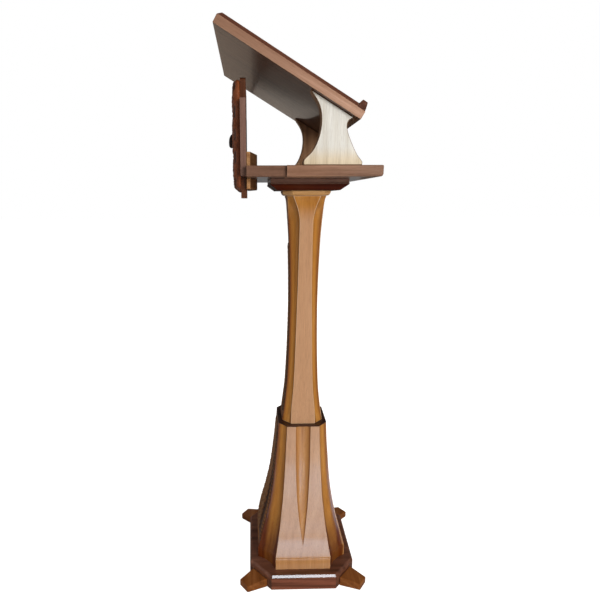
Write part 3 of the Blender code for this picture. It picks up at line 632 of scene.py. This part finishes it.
elo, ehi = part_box("emblem_board")
EZ = (elo.z, 0.9770, 1.1185, ehi.z)
outline = (
    (-0.087, EZ[0]), (0.087, EZ[0]), (0.087, EZ[1]), (0.127, EZ[1]), (0.127, EZ[2]), (0.087, EZ[2]),
    (0.087, EZ[3]), (-0.087, EZ[3]), (-0.087, EZ[2]), (-0.127, EZ[2]), (-0.127, EZ[1]), (-0.087, EZ[1]),
)
bm = loft([[Vector((x, y, z)) for x, z in outline] for y in (elo.y, ehi.y)])
for f in bm.faces:
    m = f.calc_center_median()
    if abs(abs(m.x) - 0.087) < 1e-3:
        f.material_index = 1
obj = finish("emblem_backboard", bm, [M["board"], M["board_tab"]], ["emblem_board"])
weighted(
    obj, 0.0055, 1,
    lambda mid, way: (1.0 if mid.z > EZ[3] - 1e-4 else 0.18) if abs(way.y) > 0.9 else (0.02 if mid.y < elo.y + 1e-4 else 0.10),
)


def leaf(x, z, cx, cz, angle, length, width, serrate=16.0):
    """Height, 0 to 1, of one carved leaf that starts at cx, cz."""
    dx, dz = x - cx, z - cz
    a = dx * math.sin(angle) + dz * math.cos(angle)
    b = dx * math.cos(angle) - dz * math.sin(angle)
    t = np.clip(a / length, 0.0, 1.0)
    w = width * np.power(np.sin(np.pi * np.clip(t * 0.96 + 0.02, 0, 1)), 0.75) * (1.15 - 0.45 * t)
    w = w * (1.0 + 0.16 * np.sin(t * serrate * 2.0 + 0.6)) + 1e-6
    q = 1.0 - (b / w) ** 2
    body = np.where((a > 0) & (a < length) & (q > 0), np.sqrt(np.clip(q, 0, 1)), 0.0)
    rib = 1.0 - 0.45 * np.exp(-((b / (width * 0.13)) ** 2))
    vein = 1.0 - 0.22 * (0.5 + 0.5 * np.cos((a - 1.2 * np.abs(b)) * 2 * np.pi / (length / 7.0)))
    return body * rib * vein


def relief_panel(name, levels, body, gap, nu, nv, pattern, mat, nodes):
    """Carved strip on the -Y side of a flared body."""
    bm = bmesh.new()
    bm.verts.layers.float.new("cove")
    painted_shade = bm.verts.layers.float.new("painted_shade")
    z0, z1 = levels[0][0], levels[-1][0]
    front, back = [], []
    for j in range(nv + 1):
        z = z0 + (z1 - z0) * j / nv
        half = max(curve(levels, z, 1), 0.002)
        thick = curve(levels, z, 2)
        y = -(curve(body, z, 1) + gap)
        us = np.linspace(-1.0, 1.0, nu + 1)
        hgt = pattern(us, z, half)
        edge = np.power(np.clip(1.0 - np.abs(us) ** 6, 0.0, 1.0), 0.35)
        front.append([bm.verts.new((half * u, y - thick * (0.18 + 0.82 * h) * (0.12 + 0.88 * e), z)) for u, h, e in zip(us, hgt, edge)])
        # painted shade: the low parts of the carving and the bead along its edges darken
        for v, h, u in zip(front[-1], hgt, us):
            bead = 0.30 + 0.55 * (math.sin(2 * math.pi * (z / 0.0095 + 0.35 * u)) > 0.35)
            v[painted_shade] = float(bead if abs(u) > 0.86 else min(max((0.72 - h) / 0.40, 0.0), 1.0))
        back.append((bm.verts.new((-half, y, z)), bm.verts.new((half, y, z))))
    for j in range(nv):
        for i in range(nu):
            bm.faces.new((front[j][i], front[j][i + 1], front[j + 1][i + 1], front[j + 1][i]))
        bm.faces.new((back[j][0], back[j + 1][0], back[j + 1][1], back[j][1]))
        bm.faces.new((back[j][0], front[j][0], front[j + 1][0], back[j + 1][0]))
        bm.faces.new((back[j][1], back[j + 1][1], front[j + 1][-1], front[j][-1]))
    bm.faces.new([*front[0], back[0][1], back[0][0]])
    bm.faces.new([*front[-1], back[-1][1], back[-1][0]][::-1])
    return finish(name, bm, mat, nodes)


PANEL = (
    (0.0780, 0.0500, 0.0014), (0.0830, 0.0590, 0.0034), (0.0950, 0.0600, 0.0066), (0.1100, 0.0580, 0.0096),
    (0.1250, 0.0560, 0.0118), (0.1360, 0.0545, 0.0126), (0.1480, 0.0530, 0.0130), (0.1669, 0.0508, 0.0122),
    (0.1900, 0.0480, 0.0108), (0.2150, 0.0458, 0.0092), (0.2400, 0.0438, 0.0074), (0.2700, 0.0420, 0.0058),
    (0.3000, 0.0404, 0.0046), (0.3300, 0.0390, 0.0036), (0.3600, 0.0376, 0.0030), (0.3800, 0.0330, 0.0024),
    (0.3870, 0.0180, 0.0018),
)
STRIP = (
    (0.4190, 0.0120, 0.0016), (0.4250, 0.0225, 0.0030), (0.4500, 0.0235, 0.0034), (0.4940, 0.0205, 0.0030),
    (0.5450, 0.0182, 0.0028), (0.5980, 0.0168, 0.0026), (0.6500, 0.0157, 0.0026), (0.6985, 0.0147, 0.0026),
    (0.7470, 0.0139, 0.0026), (0.8000, 0.0134, 0.0026), (0.8260, 0.0128, 0.0026), (0.8340, 0.0070, 0.0016),
)


def vine(pitch, first, last, reach, width, lean):
    def pattern(us, z, half):
        x = us * half
        zz = np.full_like(x, z)
        out = 0.28 + 0.10 * np.exp(-((np.abs(us) - 0.90) / 0.05) ** 2)
        stem = 0.55 * np.exp(-((x - 0.12 * half * math.sin(2 * math.pi * z / (2 * pitch))) / (0.07 * half)) ** 2)
        out = np.maximum(out, stem + 0.2)
        i0 = int((z - first - reach * 1.2) / pitch) - 1
        for i in range(i0, i0 + int(reach * 2.4 / pitch) + 4):
            zi = first + i * pitch
            if zi < first - 1e-6 or zi > last:
                continue
            for side in (-1, 1):
                start = zi + (pitch * 0.5 if side > 0 else 0.0)
                scale = min(half / reach * 1.25, 1.0)
                out = np.maximum(out, 0.25 + 0.75 * leaf(x, zz, 0.0, start, side * lean, reach * scale, width * scale))
        return out
    return pattern


relief_panel("pedestal_relief", PANEL, PED, 0.0006, 84, 230, vine(0.018, 0.068, 0.375, 0.044, 0.0105, 0.80), M["carving_gold"], ["pedestal_carving"])
relief_panel("column_relief", STRIP, COL, 0.0006, 40, 380, vine(0.0125, 0.416, 0.83, 0.021, 0.0048, 0.65), M["carving_gold"], ["column_carving"])

MZ, MHX, MHZ = 1.0550, 0.112, 0.1072
mlo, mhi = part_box("emblem_medallion")
YB = mhi.y
NT, NR = 288, 74


def rosette(r, th):
    """Height in metres above the back of a carved leaf rosette."""
    out = 0.0088 + 0.0030 * np.clip(1 - r, 0, 1)

    def petals(count, r0, r1, phase, high, wide):
        p = ((th + phase) % (2 * math.pi / count)) / (math.pi / count) - 1.0
        t = np.clip((r - r0) / (r1 - r0), 0.0, 1.0)
        w = wide * np.power(np.sin(np.pi * np.clip(0.08 + 0.9 * t, 0, 1)), 0.6) * (1 + 0.12 * np.sin(t * 22.0))
        q = 1.0 - (p / np.maximum(w, 1e-4)) ** 2
        body = np.where((r > r0) & (r < r1) & (q > 0), np.power(np.clip(q, 0, 1), 0.45), 0.0)
        rib = 1.0 - 0.35 * np.exp(-((p / 0.10) ** 2))
        vein = 1.0 - 0.16 * (0.5 + 0.5 * np.cos((t - 0.35 * np.abs(p)) * 2 * np.pi * 6))
        lift = 0.72 + 0.28 * np.sin(np.pi * t)
        return body * rib * vein * high * lift

    out = np.maximum(out, 0.0070 + petals(16, 0.66, 1.00, 0.0, 0.0092, 0.98))
    out = np.maximum(out, 0.0080 + petals(8, 0.42, 0.90, math.pi / 8, 0.0095, 0.62))
    out = np.maximum(out, 0.0085 + petals(8, 0.14, 0.62, 0.0, 0.0100, 0.80))
    ring = np.exp(-(((r - 0.20) / 0.035) ** 2)) * 0.0060 * (0.85 + 0.15 * np.cos(24 * th))
    return np.minimum(out + ring, 0.0186)


bm = bmesh.new()
bm.verts.layers.float.new("cove")
painted_shade = bm.verts.layers.float.new("painted_shade")
th = np.linspace(0, 2 * math.pi, NT, endpoint=False)
c, s = np.cos(th), np.sin(th)
sup = (np.abs(c) ** 8 + np.abs(s) ** 8) ** (-1 / 8)
wave = 1.0 - 0.030 * (0.5 - 0.5 * np.cos(16 * th)) - 0.012 * (0.5 - 0.5 * np.cos(48 * th))
grid = []
for i in range(1, NR + 1):
    r = i / NR
    out = rosette(np.full_like(th, r), th)
    fall = min((1 - r) / 0.045, 1.0)
    out = out * (0.60 + 0.40 * math.sqrt(max(1 - (1 - fall) ** 2, 0.0)))
    rr = r * sup * (1 + (wave - 1) * r ** 3)
    grid.append([bm.verts.new((MHX * a * cc, YB - o, MZ + MHZ * a * ss)) for a, cc, ss, o in zip(rr, c, s, out)])
    # painted shade: the low parts of the rosette darken; the rim gets a fixed light shade
    for v, o in zip(grid[-1], rosette(np.full_like(th, r), th)):
        v[painted_shade] = float(min(max((0.0152 - o) / 0.0060, 0.0), 1.0)) if r < 0.95 else 0.25
centre = bm.verts.new((0.0, YB - 0.0165, MZ))
for j in range(NT):
    k = (j + 1) % NT
    bm.faces.new((centre, grid[0][j], grid[0][k]))
    for i in range(NR - 1):
        bm.faces.new((grid[i][j], grid[i + 1][j], grid[i + 1][k], grid[i][k]))
rim = grid[-1]
for share, drop in ((0.997, 0.45), (0.993, 0.0)):
    nxt = []
    for v in rim:
        off = Vector((v.co.x, 0, v.co.z - MZ)) * share
        nxt.append(bm.verts.new((off.x, YB - (YB - v.co.y) * drop if drop else YB, MZ + off.z)))
    for j in range(NT):
        k = (j + 1) % NT
        bm.faces.new((rim[j], nxt[j], nxt[k], rim[k]))
    rim = nxt
bm.faces.new(rim)
finish("emblem_relief", bm, M["carving"], ["emblem_medallion"])

blo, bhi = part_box("emblem_boss")
bc = (blo + bhi) / 2
rings, NB = [], 48
for i in range(15):
    t = i / 14
    fr = math.cos(t * math.pi / 2) ** 0.75 * 0.98 + 0.02
    out = (bhi.y - blo.y) * math.sin(t * math.pi / 2)
    row = []
    for j in range(NB):
        a = 2 * math.pi * j / NB
        petal = 1 - 0.10 * (0.5 - 0.5 * math.cos(8 * a)) * (1 - t)
        row.append(Vector((0.0125 * fr * petal * math.cos(a), bhi.y - out, bc.z - 0.0024 * t * 2 + 0.0145 * fr * petal * math.sin(a))))
    rings.append(row)
finish("emblem_boss_carved", loft(rings), M["boss"], ["emblem_boss"])

# ============================================================ reading board
TILT = math.radians(30.64)
ORG = Vector((0.0, -0.1858, 1.2297))
SW = Vector((0.0, math.cos(TILT), -math.sin(TILT)))
TW = Vector((0.0, math.sin(TILT), math.cos(TILT)))
BH, BL, BE, BT, BI, LS = 0.166, 0.3075, 0.0156, 0.0234, 0.006, 0.2907


def on_board(x, s_, t_):
    return ORG + Vector((x, 0, 0)) + SW * s_ + TW * t_


def board_ring(half, s0, s1, t_):
    return [on_board(half, s0, t_), on_board(half, s1, t_), on_board(-half, s1, t_), on_board(-half, s0, t_)]


# body of the board: full edge up to the chamfer, then a chamfered field that stops at the ledge
bm = bmesh.new()
bm.verts.layers.float.new("cove")
V = bm.verts.new
low = [V(p) for p in board_ring(BH, 0.0, BL, 0.0)]
mid = [V(p) for p in board_ring(BH, 0.0, BL, BE)]
# order: (+x, s0), (+x, s1), (-x, s1), (-x, s0)
e1, e2 = V(on_board(BH, LS, BE)), V(on_board(-BH, LS, BE))
f1, f2 = V(on_board(BH - BI, LS, BT)), V(on_board(-BH + BI, LS, BT))
g1, g2 = V(on_board(BH - BI, BI, BT)), V(on_board(-BH + BI, BI, BT))
F = bm.faces.new
# the underside face takes the darker underside copy: painted shade
F(low[::-1]).material_index = 2
F((low[0], low[3], mid[3], mid[0]))
F((low[1], low[0], mid[0], e1, mid[1]))
F((low[3], low[2], mid[2], e2, mid[3]))
F((low[2], low[1], mid[1], mid[2]))
F((mid[1], e1, e2, mid[2]))
F((e1, f1, f2, e2))
top = [F((mid[0], g1, f1, e1)), F((mid[3], e2, f2, g2)), F((mid[0], mid[3], g2, g1))]
top.append(F((g1, g2, f2, f1)))
for f in top[:3]:
    f.material_index = 1
obj = finish("reading_board", bm, [M["book"], M["book_top"], M["book_under"]], ["bookrest"])
soften(obj, 0.0011, 3, 20)

SECTION = (
    (LS + GAP, BE + GAP), (BL - 0.0008, BE + GAP), (BL - 0.0012, 0.0200), (0.3036, 0.0300), (0.3022, 0.0312),
    (0.2940, 0.0314), (0.2928, 0.0306), (LS + GAP, 0.0245),
)
llo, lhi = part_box("book_ledge")
bm = loft([[on_board(x, a, b) for a, b in SECTION] for x in (llo.x, lhi.x)])
obj = finish("book_stop", bm, M["ledge"], ["book_ledge"])
soften(obj, 0.0010, 3, 20)


# ================================================================= brackets
def under(y):
    s_ = (y - ORG.y) / math.cos(TILT)
    return ORG.z - s_ * math.sin(TILT) - GAP / math.cos(TILT)


FRONT = (
    (-0.0225, 1.0012), (-0.0208, 1.0055), (-0.0144, 1.0117), (-0.0071, 1.0190), (-0.0010, 1.0286), (0.0035, 1.0391),
    (0.0068, 1.0496), (0.0088, 1.0605), (0.0097, 1.0715), (0.0093, 1.0824), (0.0073, 1.0927), (0.0037, 1.1025),
    (-0.0015, 1.1113), (-0.0070, 1.1186),
)
REAR = (
    (0.0612, 1.0747), (0.0580, 1.0696), (0.0573, 1.0625), (0.0588, 1.0548), (0.0621, 1.0455), (0.0673, 1.0338),
    (0.0733, 1.0218), (0.0800, 1.0110), (0.0860, 1.0040), (0.0885, 1.0005),
)


def smooth_side(points, per=5):
    out, n_ = [], len(points)
    for i in range(n_ - 1):
        p0, p1 = Vector(points[max(i - 1, 0)]), Vector(points[i])
        p2, p3 = Vector(points[i + 1]), Vector(points[min(i + 2, n_ - 1)])
        for k_ in range(per):
            t = k_ / per
            out.append(0.5 * (2 * p1 + (p2 - p0) * t + (2 * p0 - 5 * p1 + 4 * p2 - p3) * t * t + (3 * p1 - p0 - 3 * p2 + p3) * t ** 3))
    out.append(Vector(points[-1]))
    return [(p.x, p.y) for p in out]


side = [(-0.0225, shi.z + GAP)] + smooth_side(FRONT)
side += [(-0.0112, under(-0.0112)), (0.0690, under(0.0690))]
side += smooth_side(REAR) + [(0.0885, shi.z + GAP)]
for label in ("bracket_right", "bracket_left"):
    lo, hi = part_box(label)
    bm = loft([[Vector((x, y, z)) for y, z in side] for x in (lo.x, hi.x)])
    outer = hi.x if hi.x > 0 else lo.x
    # all faces but the outer one take the darker inside tone: painted shade
    for f in bm.faces:
        m = f.calc_center_median()
        f.material_index = 0 if abs(m.x - outer) < 1e-4 else 2
    obj = finish(label + "_shaped", bm, [M["bracket"], M["bracket_edge"], M["bracket_in"]], [label])
    soften(obj, 0.0010, 3, 50, material=1)

# ===================================================== pieces kept from CAD
for name, node in frame["nodes"].items():
    if "screw" in name:
        m = M["steel"]
    elif "dowel" in name:
        m = M["dowel"]
    else:
        continue
    for sl in node.material_slots:
        sl.material = m
    if not node.material_slots:
        continue

# ==================================================================== stage
k = Net("pale_floor")
coord = k.new("ShaderNodeTexCoord").outputs["Object"]
rays = k.new("ShaderNodeLightPath")
pale = k.ramp(k.noise(coord, 3.0, 4.0, 0.6), ((0.3, (0.70, 0.70, 0.705)), (0.7, (0.73, 0.73, 0.73))))
k.put(k.bsdf.inputs["Base Color"], k.mix(k.math("MULTIPLY", rays.outputs["Is Glossy Ray"], 0.72), pale, (0.0, 0.0, 0.0)))
k.bsdf.inputs["Roughness"].default_value = 0.7
k.bsdf.inputs["Specular IOR Level"].default_value = 0.1
k.bsdf.inputs["Emission Color"].default_value = (1, 1, 1, 1)
k.put(k.bsdf.inputs["Emission Strength"], k.math("MULTIPLY", rays.outputs["Is Camera Ray"], 0.95))
bm = bmesh.new()
bmesh.ops.create_grid(bm, x_segments=8, y_segments=8, size=20.0)
mesh = bpy.data.meshes.new("floor")
bm.to_mesh(mesh)
bm.free()
floor = bpy.data.objects.new("floor", mesh)
floor.location = (0, 0, -0.0002)
mesh.materials.append(k.mat)
scene.collection.objects.link(floor)

# =================================================================== lights
world = bpy.data.worlds.new("studio")
scene.world = world
world.use_nodes = True
wn = world.node_tree
for n_ in list(wn.nodes):
    wn.nodes.remove(n_)
out = wn.nodes.new("ShaderNodeOutputWorld")
seen = wn.nodes.new("ShaderNodeBackground")
seen.inputs["Color"].default_value = (1, 1, 1, 1)
seen.inputs["Strength"].default_value = 1.0
lit = wn.nodes.new("ShaderNodeBackground")
tc = wn.nodes.new("ShaderNodeTexCoord")
dot = wn.nodes.new("ShaderNodeVectorMath")
dot.operation = "DOT_PRODUCT"
wn.links.new(tc.outputs["Generated"], dot.inputs[0])
dot.inputs[1].default_value = Vector((0.93, 0.30, 0.20)).normalized()
rng = wn.nodes.new("ShaderNodeMapRange")
rng.interpolation_type = "SMOOTHSTEP"
wn.links.new(dot.outputs["Value"], rng.inputs["Value"])
for key, v in (("From Min", -0.9), ("From Max", 1.0), ("To Min", 0.18), ("To Max", 0.52)):
    rng.inputs[key].default_value = v
sep = wn.nodes.new("ShaderNodeSeparateXYZ")
wn.links.new(tc.outputs["Generated"], sep.inputs[0])
up = wn.nodes.new("ShaderNodeMapRange")
wn.links.new(sep.outputs[2], up.inputs["Value"])
for key, v in (("From Min", 0.15), ("From Max", 1.0), ("To Min", 1.0), ("To Max", 0.55)):
    up.inputs[key].default_value = v
mul = wn.nodes.new("ShaderNodeMath")
mul.operation = "MULTIPLY"
wn.links.new(rng.outputs["Result"], mul.inputs[0])
wn.links.new(up.outputs["Result"], mul.inputs[1])
lit.inputs["Color"].default_value = (1.0, 0.93, 0.84, 1)
path = wn.nodes.new("ShaderNodeLightPath")
calm = wn.nodes.new("ShaderNodeMath")
calm.operation = "MULTIPLY_ADD"
wn.links.new(path.outputs["Is Glossy Ray"], calm.inputs[0])
calm.inputs[1].default_value = -0.74
calm.inputs[2].default_value = 1.0
level = wn.nodes.new("ShaderNodeMath")
level.operation = "MULTIPLY"
wn.links.new(mul.outputs[0], level.inputs[0])
wn.links.new(calm.outputs[0], level.inputs[1])
wn.links.new(level.outputs[0], lit.inputs["Strength"])
mixer = wn.nodes.new("ShaderNodeMixShader")
wn.links.new(path.outputs["Is Camera Ray"], mixer.inputs[0])
wn.links.new(lit.outputs[0], mixer.inputs[1])
wn.links.new(seen.outputs[0], mixer.inputs[2])
wn.links.new(mixer.outputs[0], out.inputs[0])


def softbox(name, at, aim, size, power, colour=(1, 1, 1), diffuse=True, glossy=True, only=None):
    data = bpy.data.lights.new(name, "AREA")
    data.shape = "RECTANGLE"
    data.size, data.size_y = size
    data.energy = power
    data.color = colour
    light = bpy.data.objects.new(name, data)
    light.location = at
    light.rotation_euler = (Vector(aim) - Vector(at)).to_track_quat("-Z", "Y").to_euler()
    light.visible_camera = False
    light.visible_diffuse = diffuse
    light.visible_glossy = glossy
    scene.collection.objects.link(light)
    if only:
        group = bpy.data.collections.new(name + "_lights")
        for label in only:
            group.objects.link(bpy.data.objects[label])
        light.light_linking.receiver_collection = group
    return light


softbox("key", (2.9, 1.25, 1.25), (0, 0, 0.65), (1.6, 1.4), 68.0, (1.0, 0.965, 0.92), glossy=False)
softbox("front_fill", (-0.7, -3.2, 1.3), (0, 0, 0.7), (1.6, 1.8), 17.0, (1.0, 0.97, 0.93), glossy=False)
gloss = softbox("front_gloss", (-0.7, -3.2, 1.3), (0, 0, 0.7), (1.6, 1.8), 17.0, (1.0, 0.97, 0.93), diffuse=False)
spared = bpy.data.collections.new("front_gloss_spares")
spared.objects.link(bpy.data.objects["shelf_board"])
spared.collection_objects[0].light_linking.link_state = "EXCLUDE"
gloss.light_linking.receiver_collection = spared
softbox("under_sheen", (-3.0, -0.25, 0.62), (0, 0, 1.1), (2.3, 0.8), 1.35, (0.88, 0.95, 1.0), diffuse=False, only=["shelf_board", "tongue_board"])
upper = softbox("upper_sheen", (-3.0, -1.30, 0.964), (0.0, -1.30, 0.964), (1.00, 0.80), 1.50, (1.0, 0.82, 0.65), diffuse=False, only=["reading_board"])
lower = softbox("lower_sheen", (-3.0, -0.222, 0.728), (0.0, -0.222, 0.728), (0.84, 0.50), 1.06, (1.0, 0.88, 0.75), diffuse=False, only=["reading_board"])
upper.rotation_euler = Matrix(((0, 0, -1), (0.857, 0.515, 0), (0.515, -0.857, 0))).to_euler()
lower.rotation_euler = Matrix(((0, 0, -1), (0.7525, -0.6585, 0), (-0.6585, -0.7525, 0))).to_euler()
softbox("rear_fill", (-2.6, 1.6, 1.6), (0, 0, 0.7), (1.6, 1.6), 12.0, (1.0, 0.98, 0.95), glossy=False)
softbox("left_fill", (-3.0, -0.9, 1.2), (0, 0, 0.7), (1.6, 1.6), 15.0, (1.0, 0.98, 0.95), glossy=False)
low = softbox("low_panel", (0.485, 0.10, 0.004), (0.485, 0.10, 1.0), (0.30, 0.62), 4.0, (0.36, 0.67, 1.0), diffuse=False, only=["pedestal_fluted"])
low.rotation_euler = (math.pi, 0.0, 0.0)
softbox("high_panel", (2.30, 0.31, 2.15), (0.128, 0.0, 0.036), (1.00, 0.60), 40.0, (0.84, 0.92, 1.0), diffuse=False, only=["plinth_block"])

# =================================================================== camera
cam_data = bpy.data.cameras.new("camera")
cam = bpy.data.objects.new("camera", cam_data)
scene.collection.objects.link(cam)
yaw, pitch, roll = (math.radians(v) for v in (-1.1419, -13.164, -0.1972))
fwd = Vector((-math.cos(yaw) * math.cos(pitch), -math.sin(yaw) * math.cos(pitch), math.sin(pitch)))
right = fwd.cross(Vector((0, 0, 1))).normalized()
upv = right.cross(fwd)
r2 = right * math.cos(roll) + upv * math.sin(roll)
u2 = -right * math.sin(roll) + upv * math.cos(roll)
cam.matrix_world = Matrix((
    (r2.x, u2.x, -fwd.x, 0.99885), (r2.y, u2.y, -fwd.y, -0.12185), (r2.z, u2.z, -fwd.z, 0.93306), (0, 0, 0, 1),
))
cam_data.sensor_width = 36.0
cam_data.lens = 431.84 / 600 * 36.0
cam_data.shift_x = 0.0666
cam_data.clip_start, cam_data.clip_end = 0.01, 100.0
scene.camera = cam
scene.view_settings.view_transform = "Standard"
scene.view_settings.look = "None"

bpy.context.view_layer.update()
